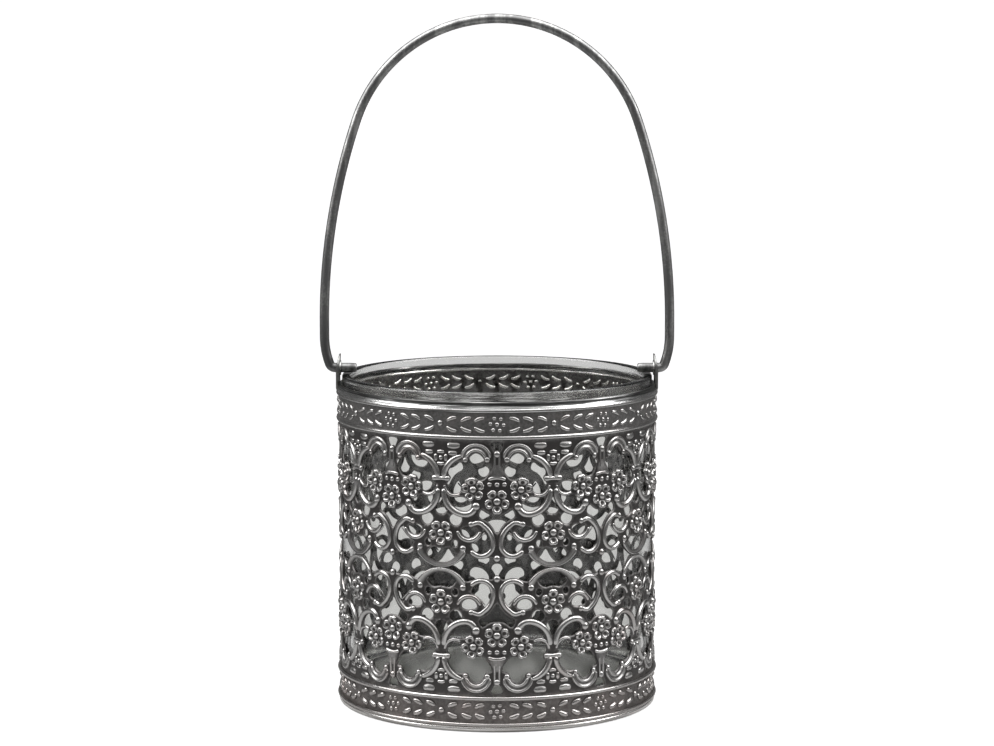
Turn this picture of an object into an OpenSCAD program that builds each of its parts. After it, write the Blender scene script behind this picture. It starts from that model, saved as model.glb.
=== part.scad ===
// Hanging tea light holder: a glass cup in a sleeve of two pierced gallery
// strips, with a rim ring, a foot ring, two ears and a swinging wire bail.
// Millimetres, +Z up, origin at the centre of the foot, bail swinging about X.

/* [Sleeve] */
// Outer radius of the pierced sleeve wall
wall_r = 39.9; // [36:0.1:46]
// Thickness of the stamped sheet
sheet_t = 0.8; // [0.5:0.1:1.2]
// Height of one gallery strip
strip_h = 38.7; // [34:0.1:44]
// Number of times the pattern repeats round the sleeve
repeats = 9; // [8:1:10]
// Height of the plain border at a strip's outer edge
border_h = 7.4; // [6:0.1:9]
// Radius of the bead line that closes the border
bead_r = 0.55; // [0.3:0.05:0.8]
// Radius of the thin ridge beside a strip's outer edge
ridge_r = 0.4; // [0.2:0.05:0.6]

/* [Foot and rim] */
// Height of the foot ring
foot_h = 1.5; // [1.2:0.1:2.2]
// Width of the foot ring, from its inner edge to its outer edge
foot_w = 2.5; // [2:0.1:4]
// How far the foot ring's round edge stands out past the sleeve wall
foot_proud = 0.2; // [0.1:0.05:0.5]
// Radius of the rolled rim ring's section
rim_r = 1.05; // [0.8:0.05:1.3]
// How deep the rim ring's round section is cut flat to sit on the upper strip
rim_sink = 0.35; // [0.2:0.05:0.6]
// How deep the flats are filed on the rim ring for the ears
flat_depth = 0.75; // [0.2:0.05:0.8]
// Thickness of the ring that carries the glass
seat_t = 0.8; // [0.6:0.1:1.2]
// How far that ring reaches under the flat bottom of the glass
seat_bearing = 2.9; // [1.5:0.1:8]

/* [Glass] */
// Gap between the glass cup and the sleeve wall
glass_gap = 0.15; // [0.1:0.05:4]
// Thickness of the glass wall
glass_wall = 2.1; // [1.5:0.1:3]
// Thickness of the glass floor
glass_floor = 4.5; // [3:0.1:8]
// How far the glass stands above the rim ring
glass_proud = 2.2; // [1:0.1:4]
// Radius of the fillet between the glass wall and floor, inside
glass_fillet = 4; // [2:0.5:8]
// Radius of the glass cup's lower outer edge
glass_edge = 1.5; // [0.5:0.1:2.5]

/* [Bail] */
// Diameter of the bail wire
wire_d = 2.4; // [1.6:0.1:2.6]
// Radial clearance of the wire in the ears' holes
wire_clearance = 0.08; // [0.02:0.01:0.1]
// Gap between the glass rim and the wire tails above it
tail_gap = 0.2; // [0.2:0.1:1.5]
// Height of the bail's top centreline above its pivot
bail_reach = 87.3; // [75:0.1:100]
// How much smaller the radius of the arch at the top is than the bail's half width
arch_inset = 6.35; // [4:0.05:10]
// Height above the pivot at which the bail is widest
waist_h = 11.5; // [8:0.5:20]
// Bend radius where the wire turns in to the ears
bend_r = 1.5; // [1.4:0.1:2.4]
// Radius of the slow curve that leads from that bend to the upright
sweep_r = 20; // [12:1:40]
// How far the uprights stand out past the start of that bend
leg_out = 2.65; // [2.5:0.05:4]
// Length of the wire tail inside each ear
tail_len = 4.3; // [3:0.1:5]

/* [Ears] */
// Thickness of the ear plate
ear_t = 0.8; // [0.6:0.1:1.2]
// Width of the ear plate
ear_w = 7.2; // [5:0.1:8]
// Thickness of the burr round the ear's hole, on the inside
burr_t = 0.4; // [0.2:0.05:0.6]
// Width of the burr round the ear's hole
burr_w = 0.7; // [0.4:0.05:1]
// Running gap between an ear and the bend of the wire
ear_gap = 0.3; // [0.2:0.05:0.5]

/* [Hidden] */
$fn = 96;
// Overrun of cutting bodies
overrun = 1;

wall_in = wall_r - sheet_t;
repeat_deg = 360 / repeats;
pierced_h = strip_h - border_h;
upper_edge_z = foot_h + 2 * strip_h;
rim_top_z = upper_edge_z + 2 * rim_r - rim_sink;
rim_mid_z = rim_top_z - rim_r;
rim_mid_r = wall_in + sheet_t / 4;
glass_r = wall_in - glass_gap;
seat_in = glass_r - glass_edge - seat_bearing;
glass_z = foot_h + seat_t;
glass_top_z = rim_top_z + glass_proud;
pivot_z = glass_top_z + tail_gap + wire_d / 2;
ear_x = rim_mid_r + rim_r - flat_depth;
bend_x = ear_x + ear_t + ear_gap;
leg_x = bend_x + leg_out;
// Where the bend gives way to the slow curve, and that curve to the upright
bend_deg = asin((sweep_r - leg_out) / (sweep_r - bend_r));
meet_x = bend_x + bend_r * sin(bend_deg);
meet_z = bend_r * (1 - cos(bend_deg));
leg_z = meet_z + sweep_r * cos(bend_deg);
// Width of the swell where two stretches of wire meet, and how far it stands out
swell_w = wire_d / 5;
swell_t = wire_d / 150;

// The side arc of the bail is tangent to the arch above it and upright at the
// waist. These give its radius and the angle at which the two arcs meet.
arch_r = leg_x - arch_inset;
arch_z = bail_reach - arch_r;
arch_rise = arch_z - waist_h;
side_extra = (arch_inset * arch_inset + arch_rise * arch_rise) / (2 * arch_inset);
side_r = arch_r + side_extra;
meet_deg = asin(arch_rise / side_extra);

// Outlines of the pierced openings, as shares. The first number of a point is
// its distance from the axis of the motif as a share of half a repeat, and the
// second its height above the border as a share of the pierced height. A list
// of an opening that straddles an axis holds its right half alone.
gate_shares = [[0.12, 0.017], [0.07, 0.07], [0.03, 0.097]];
vee_shares = [[0.02, 0.722], [0.08, 0.672], [0.17, 0.629], [0.32, 0.602], [0.3, 0.555],
    [0.245, 0.536], [0.165, 0.57], [0.07, 0.586]];
notch_shares = [[0.05, 0.947], [0.072, 0.917], [0.15, 0.915], [0.28, 0.93], [0.41, 0.913],
    [0.515, 0.894], [0.59, 0.905], [0.66, 0.942], [0.76, 0.978], [0.86, 0.996], [0.86, 1.037]];
drop_shares = [[0.035, 0.456], [0.095, 0.493], [0.12, 0.54], [0.07, 0.582]];
cradle_shares = [[0.05, 0.854], [0.14, 0.842], [0.23, 0.866], [0.28, 0.907], [0.2, 0.942], [0.085, 0.96]];
panel_shares = [[0.086, 0.221], [0.107, 0.186], [0.2, 0.189], [0.243, 0.135], [0.365, 0.097], [0.487, 0.135],
    [0.523, 0.185], [0.66, 0.169], [0.802, 0.201], [0.888, 0.262], [0.8, 0.3], [0.902, 0.345],
    [0.86, 0.407], [0.752, 0.426], [0.645, 0.409], [0.609, 0.351], [0.516, 0.305], [0.423, 0.296],
    [0.322, 0.31], [0.23, 0.306], [0.172, 0.271]];
crescent_shares = [[0.445, 0.478], [0.56, 0.451], [0.66, 0.445], [0.76, 0.457], [0.85, 0.435],
    [0.817, 0.498], [0.688, 0.547], [0.544, 0.56], [0.452, 0.53]];
lozenge_shares = [[0.76, 0.571], [0.86, 0.613], [0.81, 0.659], [0.716, 0.675], [0.63, 0.645], [0.616, 0.601]];
oval_shares = [[0.104, 0.808], [0.13, 0.744], [0.215, 0.686], [0.28, 0.748], [0.365, 0.79],
    [0.466, 0.81], [0.4, 0.866], [0.28, 0.889], [0.157, 0.869]];
arch_shares = [[0.337, 0.693], [0.387, 0.744], [0.494, 0.764], [0.602, 0.744], [0.638, 0.697],
    [0.545, 0.676], [0.445, 0.679]];
eye_shares = [[0.695, 0.795], [0.752, 0.78], [0.802, 0.805], [0.78, 0.837], [0.71, 0.833]];

// Each corner of an outline becomes two points, a quarter of the way along its sides
function softened(p) = [for (i = [0:len(p) - 1]) let (a = p[i], b = p[(i + 1) % len(p)])
    each [a + (b - a) / 4, b + (a - b) / 4]];

// An outline that straddles its axis, from its right half
function both_halves(p) = concat(p, [for (i = [len(p) - 1:-1:0]) [-p[i].x, p[i].y]]);

// Middle of an outline along the strip, as a share of half a repeat
function middle(p) = let (xs = [for (q = p) q.x]) (min(xs) + max(xs)) / 2;

// Degrees round the sleeve of a share of half a repeat
function turn(share) = share * repeat_deg / 2;

// Cuts one opening square to the wall. The outline is flat in front of it.
module pierce(shares) {
    mid = middle(shares);
    rotate([0, 0, turn(mid)])
        translate([0, -wall_in + overrun, 0])
            rotate([90, 0, 0])
                linear_extrude(height = sheet_t + 2 * overrun)
                    polygon([for (q = shares)
                        [wall_r * sin(turn(q.x - mid)), border_h + pierced_h * q.y]]);
}

// The openings of one repeat, whose axis faces -Y
module openings() {
    for (half = [gate_shares, vee_shares, notch_shares]) pierce(both_halves(half));
    rotate([0, 0, repeat_deg / 2])
        for (half = [drop_shares, cradle_shares]) pierce(softened(both_halves(half)));
    large = [panel_shares, crescent_shares];
    small = [for (p = [lozenge_shares, oval_shares, arch_shares, eye_shares]) softened(p)];
    for (outline = concat(large, small)) {
        pierce(outline);
        mirror([1, 0, 0]) pierce(outline);
    }
}

// A strip stands on its outer edge with the border at the bottom
module gallery() {
    difference() {
        rotate_extrude() {
            translate([wall_in, 0]) square([sheet_t, strip_h]);
            translate([wall_r, border_h - bead_r]) circle(r = bead_r);
            translate([wall_r, ridge_r]) circle(r = ridge_r);
        }
        for (i = [0:repeats - 1]) rotate([0, 0, i * repeat_deg]) openings();
    }
}

module foot_ring() {
    color("dimgray") rotate_extrude() {
        translate([wall_r + foot_proud - foot_w, 0]) square([foot_w - foot_h / 2, foot_h]);
        translate([wall_r + foot_proud - foot_h / 2, foot_h / 2]) circle(d = foot_h);
    }
}

// Flat ring inside the foot that the glass stands on
module seat_ring() {
    color("gray") translate([0, 0, foot_h]) rotate_extrude()
        translate([seat_in, 0]) square([wall_in - seat_in, seat_t]);
}

module lower_gallery() {
    color("slategray") translate([0, 0, foot_h]) gallery();
}

// The same strip upside down, so that the arcs of the two meet
module upper_gallery() {
    color("lightslategray") translate([0, 0, upper_edge_z]) mirror([0, 0, 1]) gallery();
}

// Rolled ring on the upper strip's edge, flush with the wall inside, with a flat
// filed for each ear
module rim_ring() {
    color("silver") difference() {
        rotate_extrude() intersection() {
            translate([rim_mid_r, rim_mid_z]) circle(r = rim_r);
            translate([wall_in, upper_edge_z]) square([2 * rim_r, rim_top_z - upper_edge_z]);
        }
        for (side = [0, 180]) rotate([0, 0, side])
            translate([ear_x, -wall_r / 2, upper_edge_z - overrun])
                cube([wall_r, wall_r, 2 * (rim_r + overrun)]);
    }
}

// Straight-sided tumbler with a thick floor and a round rim
module glass_cup() {
    inner_r = glass_r - glass_wall;
    height = glass_top_z - glass_z;
    color("lightcyan", 0.4) translate([0, 0, glass_z]) rotate_extrude() difference() {
        union() {
            square([glass_r - glass_edge, height - glass_wall / 2]);
            translate([0, glass_edge]) square([glass_r, height - glass_wall / 2 - glass_edge]);
            translate([glass_r - glass_edge, glass_edge]) circle(r = glass_edge);
            translate([glass_r - glass_wall / 2, height - glass_wall / 2]) circle(d = glass_wall);
        }
        translate([0, glass_floor]) square([inner_r - glass_fillet, height]);
        translate([0, glass_floor + glass_fillet]) square([inner_r, height]);
        translate([inner_r - glass_fillet, glass_floor + glass_fillet]) circle(r = glass_fillet);
    }
}

// Plate with a rounded top, seated on the flat of the rim ring
module ear() {
    color("darkgray") difference() {
        union() {
            translate([ear_x, -ear_w / 2, upper_edge_z]) cube([ear_t, ear_w, pivot_z - upper_edge_z]);
            translate([ear_x, 0, pivot_z]) rotate([0, 90, 0]) cylinder(h = ear_t, d = ear_w);
            translate([ear_x - burr_t, 0, pivot_z]) rotate([0, 90, 0])
                cylinder(h = burr_t, r = wire_d / 2 + wire_clearance + burr_w);
        }
        translate([ear_x - burr_t - overrun, 0, pivot_z]) rotate([0, 90, 0])
            cylinder(h = ear_t + burr_t + 2 * overrun, r = wire_d / 2 + wire_clearance);
    }
}

module ear_right() {
    ear();
}

module ear_left() {
    mirror([1, 0, 0]) ear();
}

// A stretch of wire along an arc about the origin, in the plane of X and Z
module wire_arc(radius, from, sweep) {
    rotate([90, 0, 0]) rotate([0, 0, from]) rotate_extrude(angle = sweep)
        translate([radius, 0]) circle(d = wire_d, $fn = 48);
}

// A hair-thin swell over the place where two stretches of wire meet
module swell(x, z, lean) {
    translate([x, 0, z]) rotate([0, lean, 0])
        cylinder(h = swell_w, d = wire_d + 2 * swell_t, center = true, $fn = 48);
}

// One side of the bail, from the tail to the start of the arch
module bail_side() {
    translate([bend_x - ear_gap - ear_t - tail_len, 0, 0]) rotate([0, 90, 0])
        cylinder(h = tail_len + ear_t + ear_gap, d = wire_d, $fn = 48);
    translate([bend_x, 0, bend_r]) wire_arc(bend_r, -90, bend_deg);
    translate([leg_x - sweep_r, 0, leg_z]) wire_arc(sweep_r, bend_deg - 90, 90 - bend_deg);
    translate([leg_x, 0, leg_z]) cylinder(h = waist_h - leg_z, d = wire_d, $fn = 48);
    translate([leg_x - side_r, 0, waist_h]) wire_arc(side_r, 0, meet_deg);
    swell(bend_x, 0, 90);
    swell(meet_x, meet_z, 90 - bend_deg);
    swell(leg_x, leg_z, 0);
    swell(leg_x, waist_h, 0);
    swell(arch_r * cos(meet_deg), arch_z + arch_r * sin(meet_deg), -meet_deg);
}

// Wire bail, upright, hooked through the ears by its turned-in tails
module bail() {
    color("darkslategray") translate([0, 0, pivot_z]) {
        bail_side();
        mirror([1, 0, 0]) bail_side();
        translate([0, 0, arch_z]) wire_arc(arch_r, meet_deg, 180 - 2 * meet_deg);
    }
}

foot_ring();
seat_ring();
lower_gallery();
upper_gallery();
rim_ring();
glass_cup();
ear_left();
ear_right();
bail();
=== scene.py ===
"""A hanging tea light holder: a glass cup in a sleeve of stamped, pierced metal with a wire bail.
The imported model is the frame. This script dresses it with scrollwork, flowers, glass and wire."""

import math
from collections import namedtuple

import bpy
import numpy as np
from mathutils import Matrix, Vector
from mathutils.geometry import delaunay_2d_cdt


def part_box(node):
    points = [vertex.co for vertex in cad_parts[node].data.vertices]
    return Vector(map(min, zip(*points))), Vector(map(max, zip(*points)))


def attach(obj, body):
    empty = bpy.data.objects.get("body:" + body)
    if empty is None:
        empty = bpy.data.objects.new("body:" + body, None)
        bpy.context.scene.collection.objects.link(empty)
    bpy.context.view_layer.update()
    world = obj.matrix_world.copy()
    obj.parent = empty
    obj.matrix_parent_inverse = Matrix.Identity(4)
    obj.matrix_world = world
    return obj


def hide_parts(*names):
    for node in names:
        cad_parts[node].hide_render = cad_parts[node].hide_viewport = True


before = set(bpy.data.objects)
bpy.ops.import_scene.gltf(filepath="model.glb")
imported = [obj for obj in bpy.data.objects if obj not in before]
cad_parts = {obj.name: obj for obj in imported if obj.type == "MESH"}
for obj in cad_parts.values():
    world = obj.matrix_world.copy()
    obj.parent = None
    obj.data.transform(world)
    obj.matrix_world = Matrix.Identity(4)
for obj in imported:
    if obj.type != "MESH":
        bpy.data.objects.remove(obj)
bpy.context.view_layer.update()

bl_info = {
    "name": "Tea light holder",
    "version": (1, 0, 0),
    "blender": (4, 5, 0),
    "location": "View3D > Sidebar > Holder",
    "description": "Dresses the packed tea light holder with its stamped sleeve, glass and wire",
    "category": "Object",
}

MM = 0.001
QUARTER = math.pi / 2

# The frame's own sizes
LOWER_LOW, LOWER_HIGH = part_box("lower_gallery")
_, UPPER_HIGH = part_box("upper_gallery")
GLASS_LOW, GLASS_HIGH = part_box("glass_cup")
BAIL_LOW, BAIL_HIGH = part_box("bail")
EAR_LOW, EAR_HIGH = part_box("ear_right")
RIM_LOW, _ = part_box("rim_ring")
BEAD_RADIUS = 0.55 * MM
WALL_RADIUS = LOWER_HIGH.y - BEAD_RADIUS
# The CAD wire's box reaches this far from the wire's middle line: below and at the sides, and at the top
WIRE_BESIDE, WIRE_ABOVE = 1.216 * MM, 1.2 * MM
# The photograph's fitted focal length and its width, in pixels, and the camera's sensor in millimetres
FOCAL_PIXELS, PICTURE_WIDTH, SENSOR = 3082, 994, 36


# Points along lines
SPACING = 0.45  # about this far apart on a raised line, in millimetres


def on_arc(centre, radius, turns):
    """Points on a circle at these turns, in radians."""
    return np.column_stack([centre[0] + radius * np.cos(turns), centre[1] + radius * np.sin(turns)])


def bend(centre, radius, start, end, count):
    """This many points on an arc between two turns, in radians."""
    return list(on_arc(centre, radius, np.linspace(start, end, count)))


def circle(radius, count):
    """Points round the origin."""
    return on_arc((0, 0), radius, np.linspace(0, math.tau, count, endpoint=False))


def arc(centre, radius, start, end):
    """Points on an arc, in degrees from the strip's direction."""
    count = max(3, round(abs(math.radians(end - start)) * radius / SPACING) + 1)
    return on_arc(centre, radius, np.linspace(math.radians(start), math.radians(end), count))


def bow(start, end, rise):
    """Points on a shallow curve between two places that rises sideways in its middle."""
    start, end = np.array(start, float), np.array(end, float)
    along = end - start
    far = np.hypot(*along)
    side = np.array([-along[1], along[0]]) / far
    share = np.linspace(0, 1, max(3, round(far / SPACING)))
    return start + share[:, None] * along + (4 * rise * share * (1 - share))[:, None] * side


def symmetric(half):
    """A line from its half, which ends in the middle."""
    return half + [(-x, y) for x, y in reversed(half[:-1])]


# The pattern

# Places on one repeat of a strip are in millimetres: the distance along the strip from the motif's axis,
# and the height above the strip's outer edge. The openings' outlines are shares, as in the part's own
# source: of half a repeat, and of the pierced height above the border.
BETWEEN = 13.928  # half a repeat along the strip
AXIS_OPENINGS = {
    "gate": [(0.12, 0.017), (0.07, 0.07), (0.03, 0.097)],
    "vee": [(0.02, 0.722), (0.08, 0.672), (0.17, 0.629), (0.32, 0.602), (0.3, 0.555), (0.245, 0.536),
            (0.165, 0.57), (0.07, 0.586)],
    "notch": [(0.05, 0.947), (0.072, 0.917), (0.15, 0.915), (0.28, 0.93), (0.41, 0.913), (0.515, 0.894),
              (0.59, 0.905), (0.66, 0.942), (0.76, 0.978), (0.86, 0.996), (0.86, 1.037)],
}
BETWEEN_OPENINGS = {
    "drop": [(0.035, 0.456), (0.095, 0.493), (0.12, 0.54), (0.07, 0.582)],
    "cradle": [(0.05, 0.854), (0.14, 0.842), (0.23, 0.866), (0.28, 0.907), (0.2, 0.942), (0.085, 0.96)],
}
SIDE_OPENINGS = {
    "panel": [(0.086, 0.221), (0.107, 0.186), (0.2, 0.189), (0.243, 0.135), (0.365, 0.097), (0.487, 0.135),
              (0.523, 0.185), (0.66, 0.169), (0.802, 0.201), (0.888, 0.262), (0.8, 0.3), (0.902, 0.345),
              (0.86, 0.407), (0.752, 0.426), (0.645, 0.409), (0.609, 0.351), (0.516, 0.305), (0.423, 0.296),
              (0.322, 0.31), (0.23, 0.306), (0.172, 0.271)],
    "crescent": [(0.445, 0.478), (0.56, 0.451), (0.66, 0.445), (0.76, 0.457), (0.85, 0.435), (0.817, 0.498),
                 (0.688, 0.547), (0.544, 0.56), (0.452, 0.53)],
    "lozenge": [(0.76, 0.571), (0.86, 0.613), (0.81, 0.659), (0.716, 0.675), (0.63, 0.645), (0.616, 0.601)],
    "oval": [(0.104, 0.808), (0.13, 0.744), (0.215, 0.686), (0.28, 0.748), (0.365, 0.79), (0.466, 0.81),
             (0.4, 0.866), (0.28, 0.889), (0.157, 0.869)],
    "arch": [(0.337, 0.693), (0.387, 0.744), (0.494, 0.764), (0.602, 0.744), (0.638, 0.697), (0.545, 0.676),
             (0.445, 0.679)],
    "eye": [(0.695, 0.795), (0.752, 0.78), (0.802, 0.805), (0.78, 0.837), (0.71, 0.833)],
}

# Flowers: place, radius, turn of the first petal in degrees
AXIS_FLOWERS = [((0, 22.3), 3.2, 90)]
SIDE_FLOWERS = [((5.85, 19.45), 3.05, -79)]
BETWEEN_FLOWERS = [((BETWEEN, 30.2), 3.25, 90)]
# Petals: how many, and their distance and size as shares of the flower's radius
PETALS, PETAL_REACH, PETAL_SIZE = 5, 0.655, 0.355
# The pearl in a flower's middle: its size as a share of the radius, and its lift
EYE_SIZE, EYE_LIFT = 0.3, 0.06
# Pearls: place and radius
AXIS_PEARLS = [((0, 36.2), 0.88), ((0, 18.2), 0.68), ((0, 10.8), 0.88)]
SIDE_PEARLS = [((1.8, 18.15), 0.62), ((5.1, 23.5), 1.05), ((6.3, 27.9), 0.75), ((8.35, 33.9), 0.85),
               ((2.4, 12.15), 0.75), ((7.75, 12.3), 0.68)]
BETWEEN_PEARLS = [((BETWEEN, 11.95), 0.6)]
# The border's pearls: a rosette of seven on the axis, and one between the motifs
ROSETTE = on_arc((0, 3.6), 1.6, np.radians(range(5, 365, 60)))
FRIEZE_PEARLS = [((0, 3.6), 0.62), *((tuple(place), 0.56) for place in ROSETTE), ((BETWEEN, 3.5), 0.8)]

# Raised lines: the points they follow, and half their width at the start, middle and end
SIDE_RAILS = [
    (arc((7.5, 17.0), 5.7, -80, -2), (0.5, 0.8, 0.75)),
    (np.vstack([arc((7.6, 20.0), 5.6, -6, 90), arc((7.6, 23.3), 2.3, 92, 170)]), (0.7, 0.8, 0.8)),
    (arc((10.5, 18.6), 2.5, 0, 127), (0.3, 0.42, 0.3)),
    (np.vstack([arc((3.9, 32.7), 3.0, 33, 180), arc((6.4, 32.7), 5.5, 182, 238),
                arc((4.6, 29.5), 2.0, 246, 318)]), (0.62, 0.62, 0.6)),
    (arc((6.9, 29.0), 2.9, 12, 168), (0.4, 0.55, 0.4)),
    (bow((2.9, 29.8), (5.6, 32.3), 0.1), (0.16, 0.2, 0.16)),
]
SIDE_BARS = [
    (bow((12.35, 8.6), (8.95, 8.6), -0.3), (0.7, 0.9, 0.7)),
    (bow((12.05, 10.55), (9.65, 10.55), -0.2), (0.5, 0.68, 0.5)),
]
AXIS_RIMS = [(bow((2.15, 17.0), (-2.15, 17.0), 0.55), (0.42, 0.52, 0.42))]
BETWEEN_RAILS = [
    (bow((BETWEEN + 2.4, 16.95), (BETWEEN - 2.4, 16.95), 0), (0.95, 0.52, 0.95)),
] + [(arc((BETWEEN, 11.95), reach, turn - 40, turn + 40), (0.42, wide, 0.42))
     for turn, reach, wide in ((0, 1.4, 0.6), (90, 1.55, 0.5), (180, 1.4, 0.6), (270, 1.55, 0.5))]
SIDE_BANDS = [(arc((5.1, 12.2), 3.0, 184, 356), (1.05, 1.15, 1.05))]
AXIS_STEMS = [([(0, 15.0), (0, 14.2), (0, 13.4), (0, 12.6), (0, 11.8), (0, 11.0)],
               [0.95, 0.88, 0.85, 0.85, 0.85, 0.85])]
BETWEEN_BLADES = [(arc((BETWEEN, 31.9), 6.2, 158, 22), (1.1, 0.55, 1.1))]
AXIS_URNS = [([(0, 16.8), (0, 16.4), (0, 15.9), (0, 15.4), (0, 14.9), (0, 14.4), (0, 13.9), (0, 13.4)],
              [1.85, 2.0, 1.95, 1.8, 1.55, 1.25, 1.0, 0.8])]

# The border: its middle line, and its leaves from stalk to tip, in pairs above and below that line
BORDER_MIDDLE = 3.65
LEAF_SPANS = [(2.9, 5.5), (6.1, 8.8), (9.7, 12.3)]
STALK_OUT, TIP_OUT = 1.65, 0.62


def leaf_pairs(middle, rises, widths):
    """The leaves on one side of the axis. The rises bend the upper and the lower leaf of each pair."""
    return [(bow((start, middle + side * STALK_OUT), (end, middle + side * TIP_OUT), rise), widths)
            for start, end in LEAF_SPANS for side, rise in zip((1, -1), rises)]


FRIEZE_LEAVES = leaf_pairs(BORDER_MIDDLE, (0.3, -0.3), (0.45, 0.64, 0.32))

# Inside the upper border the leaves and pearls show as hollows with one bright edge each, shifted upwards.
# Each bright edge is drawn as a ridge, and its brightness is partly a painted highlight.
INSIDE_SHIFT = 0.8
INSIDE_LEAVES = leaf_pairs(BORDER_MIDDLE - INSIDE_SHIFT, (0.45, 0.45), (0.26, 0.46, 0.26))
INSIDE_PEARLS = [(bow((x - 0.5, y - INSIDE_SHIFT), (x + 0.5, y - INSIDE_SHIFT), 0.35), (0.24, 0.4, 0.24))
                 for (x, y), radius in FRIEZE_PEARLS]

# Cross-sections of the raised lines, drawn across and up, for a line of half width 1
SECTIONS = {
    "rail": symmetric([(-1, -0.3), (-1, 0.02), (-0.9, 0.36), (-0.7, 0.62), (-0.4, 0.82), (0, 0.9)]),
    "band": symmetric([(-1, -0.15), (-1, 0.05), (-0.9, 0.4), (-0.74, 0.56), (-0.58, 0.6), (-0.4, 0.52),
                       (-0.2, 0.3), (0, 0.22)]),
    "blade": [(-1, -0.2), (-1, 0.08), (-0.94, 0.4), (-0.8, 0.6), (-0.62, 0.66), (-0.4, 0.6), (0, 0.44),
              (0.45, 0.3), (0.85, 0.16), (1, 0.02), (1, -0.2)],
    "bar": [(-1, -0.2), (-1, 0.05), (-0.9, 0.38), (-0.66, 0.6), (-0.3, 0.7), (0.1, 0.62), (0.5, 0.46),
            (0.86, 0.26), (1, 0.05), (1, -0.2)],
    "urn": symmetric([(-1, -0.1), (-1, 0.06), (-0.93, 0.2), (-0.72, 0.28), (-0.36, 0.33), (0, 0.35)]),
    "stem": symmetric([(-1, -0.1), (-1, 0.12), (-0.92, 0.46), (-0.74, 0.62), (-0.52, 0.5), (-0.32, 0.24),
                       (0, 0.16)]),
    "leaf": symmetric([(-1, -0.2), (-1, 0.1), (-0.82, 0.44), (-0.45, 0.72), (0, 0.84)]),
}
TALLEST_SECTION = 0.9

# The rim ring's section: out from the wall's inside, and up from its lower edge, in millimetres. A flat
# upper face flares out to a bevel that catches the light.
RIM_SECTION = [(0.0, 0.05), (0.0, 1.45), (0.06, 1.63), (0.2, 1.74), (0.4, 1.75), (0.56, 1.68), (0.66, 1.52),
               (0.7, 1.3), (0.72, 1.05), (0.76, 0.84), (0.86, 0.66), (1.0, 0.36), (1.14, 0.06),
               (1.26, -0.2), (1.33, -0.4), (1.34, -0.54), (1.28, -0.66), (1.12, -0.74), (0.7, -0.7),
               (0.7, 0.02)]


def mirrored(lines, step=-1):
    """The same lines on the other side of the axis. They are drawn the other way so that sections stay in
    place, or the same way, with a step of 1, for sections that lean one way."""
    return [(np.column_stack([-points[:, 0], points[:, 1]])[::step], widths[::step])
            for points, widths in lines]


def widened(lines, share):
    """The same lines with this share of their width."""
    return [(points, [share * w for w in widths]) for points, widths in lines]


def both_sides(places):
    """Places on both sides of the axis."""
    return [((side * place[0], place[1]), *rest) for place, *rest in places for side in (1, -1)]


# Settings that a user would change
def length(name, description, default):
    """A length that is set in the panel."""
    return bpy.props.FloatProperty(name=name, description=description, default=default, min=0,
                                   unit="LENGTH", subtype="DISTANCE", precision=5)


def colour(name, description, default):
    """A colour that is set in the panel."""
    return bpy.props.FloatVectorProperty(name=name, description=description, default=default, size=4,
                                         min=0, max=1, subtype="COLOR")


class SleeveSizes(bpy.types.PropertyGroup):
    """Sizes of the sleeve"""

    repeats: bpy.props.IntProperty(name="Repeats", description="Motifs round the sleeve", default=9, min=3)
    bead_radius: length("Bead radius", "Radius of the bead line that closes a border", BEAD_RADIUS)
    wall_radius: length("Wall radius", "Radius at which the pattern is measured", WALL_RADIUS)
    inner_radius: length("Inner radius", "Inside of the sheet", WALL_RADIUS - 0.8 * MM)
    sheet: length("Sheet", "Thickness of the flat sheet between the raised lines", 0.35 * MM)
    strip_height: length("Strip height", "Height of one strip", LOWER_HIGH.z - LOWER_LOW.z)
    border_height: length("Border height", "Height of the closed border", 7.4 * MM)
    ridge_radius: length("Ridge radius", "Radius of the ridge beside a strip's outer edge", 0.42 * MM)
    swell: length("Swell", "How far the upper border stands out from the pierced sheet", 0.45 * MM)
    weld: length("Weld", "Distance within which the repeats' edges are joined", 0.02 * MM)
    far_step: bpy.props.FloatProperty(name="Far step", description="Turn of the marks inside the border",
                                      default=math.radians(6.7), subtype="ANGLE")


class GlassSizes(bpy.types.PropertyGroup):
    """Sizes of the glass cup"""

    radius: length("Radius", "Outside of the cup", GLASS_HIGH.y)
    wall: length("Wall", "Thickness of the wall", 2.1 * MM)
    floor: length("Floor", "Thickness of the floor", 4.5 * MM)
    fillet: length("Fillet", "Radius between wall and floor, inside", 4 * MM)
    edge: length("Edge", "Radius of the lower outer edge", 1.5 * MM)
    lip: length("Lip", "Radius of each edge of the rim", 0.55 * MM)
    segments: bpy.props.IntProperty(name="Segments", description="Steps round the cup", default=144, min=24)


class BailSizes(bpy.types.PropertyGroup):
    """Sizes of the bail"""

    wire_radius: length("Wire radius", "Radius of the wire", 1.2 * MM)
    pivot: length("Pivot", "Height of the ears' holes", BAIL_LOW.z + WIRE_BESIDE)
    half_width: length("Half width", "Distance of each upright from the middle", BAIL_HIGH.x - WIRE_BESIDE)
    reach: length("Reach", "Height of the top above the pivot",
                  BAIL_HIGH.z - WIRE_ABOVE - BAIL_LOW.z - WIRE_BESIDE)
    bend: length("Bend", "Radius of the bend above each ear", 1.5 * MM)
    sweep: length("Sweep", "Radius of the slow curve between that bend and the upright", 20 * MM)
    leg_out: length("Leg out", "How far the uprights stand out past the start of the bend", 2.65 * MM)
    arch_inset: length("Arch inset", "How much the arch's radius falls short of the half width", 6.35 * MM)
    waist: length("Waist", "Height at which the bail is widest", 11.5 * MM)
    tail: length("Tail", "Length of each turned-in end", 5.4 * MM)
    chamfer: length("Chamfer", "Length of the chamfer at each end", 0.25 * MM)


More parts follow.
